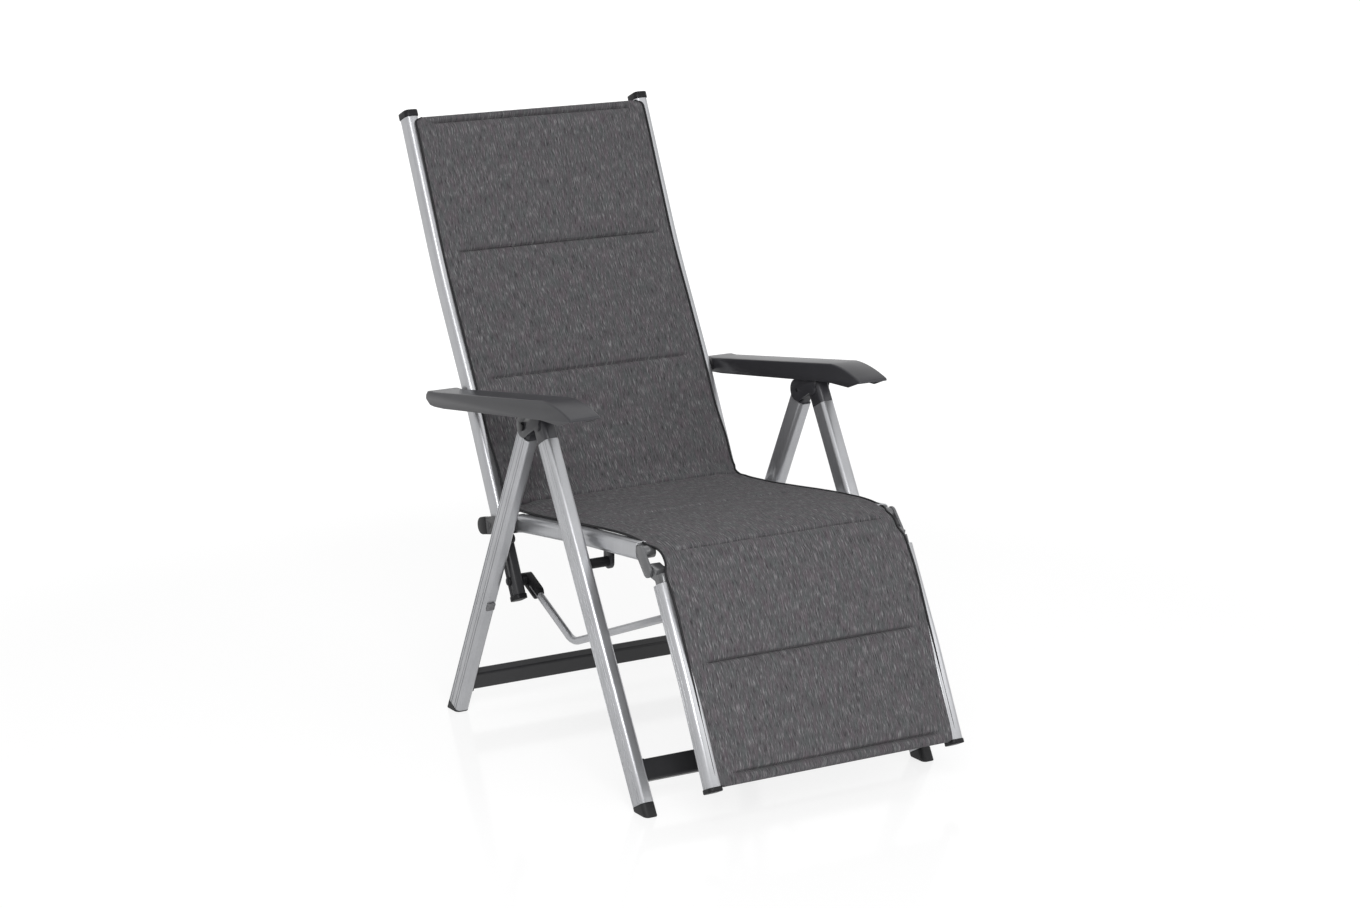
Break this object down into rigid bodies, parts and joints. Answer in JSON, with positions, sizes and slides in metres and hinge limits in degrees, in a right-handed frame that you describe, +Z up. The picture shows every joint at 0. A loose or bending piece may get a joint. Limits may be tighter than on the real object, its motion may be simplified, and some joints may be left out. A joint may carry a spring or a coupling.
{
  "type": "reclining garden armchair",
  "caption": "Reclining garden armchair with a padded sling on an aluminium frame, a linked footrest and armrests.",
  "frame": {"origin": "on the floor, under the middle of the chair's width and length", "axes": "+X to the right seen from the front, +Y to the rear, +Z up"},
  "size_m": [0.648, 1.1058, 1.0877],
  "materials": {
    "silver_tube": "satin, brushed along",
    "dark_metal": "dark grey coat",
    "grey_plastic": "fine grain",
    "black_plastic": "moulded",
    "bolt_steel": "blackened",
    "foot_rubber": "moulded",
    "sling_fabric": "padded melange weave"
  },
  "bodies": {
    "front_legs": {"front_leg_left": "silver_tube", "front_leg_right": "silver_tube", "front_feet": "foot_rubber", "front_crossbar": "dark_metal", "leg_head_left": "grey_plastic", "leg_head_right": "grey_plastic", "leg_pivot_bolts": "bolt_steel", "seat_pivot_bolts": "bolt_steel", "seat_pivot_spacers": "black_plastic"},
    "rear_legs": {"rear_leg_left": "silver_tube", "rear_leg_right": "silver_tube", "rear_feet": "foot_rubber", "rear_crossbar": "dark_metal", "rear_knuckle_left": "grey_plastic", "rear_knuckle_right": "grey_plastic", "rest_pins": "bolt_steel", "leg_bumpers": "grey_plastic"},
    "seat": {"seat_tube_left": "silver_tube", "seat_tube_right": "silver_tube", "seat_hinge_left": "grey_plastic", "seat_hinge_right": "grey_plastic", "seat_brackets": "grey_plastic", "seat_rear_bracket_left": "dark_metal", "seat_rear_bracket_right": "dark_metal", "seat_end_caps": "black_plastic", "seat_rails": "silver_tube", "seat_pad": "sling_fabric"},
    "backrest": {"back_tube_left": "silver_tube", "back_tube_right": "silver_tube", "back_caps": "black_plastic", "lever_left": "dark_metal", "lever_right": "dark_metal", "lever_caps": "black_plastic", "recline_bolts": "bolt_steel", "back_rails": "silver_tube", "rod_bolts": "bolt_steel", "back_pad": "sling_fabric"},
    "armrest_pin_left": {"armrest_pin_left": "bolt_steel"},
    "armrest_pin_right": {"armrest_pin_right": "bolt_steel"},
    "armrest_left": {"armrest_left": "grey_plastic", "armrest_rack_left": "black_plastic"},
    "armrest_right": {"armrest_right": "grey_plastic", "armrest_rack_right": "black_plastic"},
    "footrest_links": {"hinge_link_left": "grey_plastic", "hinge_link_right": "grey_plastic"},
    "footrest": {"footrest_cap_left": "grey_plastic", "footrest_cap_right": "grey_plastic", "footrest_tube_left": "silver_tube", "footrest_tube_right": "silver_tube", "footrest_end_caps": "black_plastic", "footrest_rail": "silver_tube", "rod_studs": "bolt_steel", "footrest_pad": "sling_fabric"},
    "push_rods": {"push_rod_left": "silver_tube", "push_rod_right": "silver_tube", "rod_clevis_left": "black_plastic", "rod_clevis_right": "black_plastic"}
  },
  "joints": [
    {"name": "rear_leg_fold", "type": "hinge", "parent": "front_legs", "child": "rear_legs", "pos_m": [0, 0.00508, 0.596], "axis": [-1, 0, 0], "range_deg": [0, 53]},
    {"name": "seat_tilt", "type": "hinge", "parent": "front_legs", "child": "seat", "pos_m": [0, -0.16914, 0.38401], "axis": [1, 0, 0], "range_deg": [0, 6.4]},
    {"name": "recline", "type": "hinge", "parent": "seat", "child": "backrest", "pos_m": [0, 0.1881, 0.37253], "axis": [-1, 0, 0], "range_deg": [-10, 20]},
    {"name": "hinge_link_swing", "type": "hinge", "parent": "seat", "child": "footrest_links", "pos_m": [0, -0.3229, 0.438], "axis": [-1, 0, 0], "range_deg": [-3, 6]},
    {"name": "footrest_swing", "type": "hinge", "parent": "footrest_links", "child": "footrest", "pos_m": [0, -0.3459, 0.41201], "axis": [-1, 0, 0], "range_deg": [-11, 22]},
    {"name": "rod_swing", "type": "hinge", "parent": "backrest", "child": "push_rods", "pos_m": [0, 0.1418, 0.27718], "axis": [1, 0, 0], "range_deg": [-9.34, 18.68]},
    {"name": "armrest_level_left", "type": "hinge", "parent": "backrest", "child": "armrest_pin_left", "pos_m": [0, 0.29468, 0.59202], "axis": [1, 0, 0], "range_deg": [-7.2, 14.4]},
    {"name": "armrest_lift_left", "type": "hinge", "parent": "armrest_pin_left", "child": "armrest_left", "pos_m": [0, 0.29468, 0.59202], "axis": [-1, 0, 0], "range_deg": [0, 25]},
    {"name": "armrest_level_right", "type": "hinge", "parent": "backrest", "child": "armrest_pin_right", "pos_m": [0, 0.29468, 0.59202], "axis": [1, 0, 0], "range_deg": [-7.2, 14.4]},
    {"name": "armrest_lift_right", "type": "hinge", "parent": "armrest_pin_right", "child": "armrest_right", "pos_m": [0, 0.29468, 0.59202], "axis": [-1, 0, 0], "range_deg": [0, 25]}
  ],
  "couplings": [
    {"joint": "seat_tilt", "follows": "rear_leg_fold", "ratio": 0.12},
    {"joint": "hinge_link_swing", "follows": "recline", "ratio": 0.3},
    {"joint": "footrest_swing", "follows": "recline", "ratio": 1.1},
    {"joint": "rod_swing", "follows": "recline", "ratio": 0.934},
    {"joint": "armrest_level_left", "follows": "recline", "ratio": 0.72},
    {"joint": "armrest_level_right", "follows": "recline", "ratio": 0.72}
  ]
}
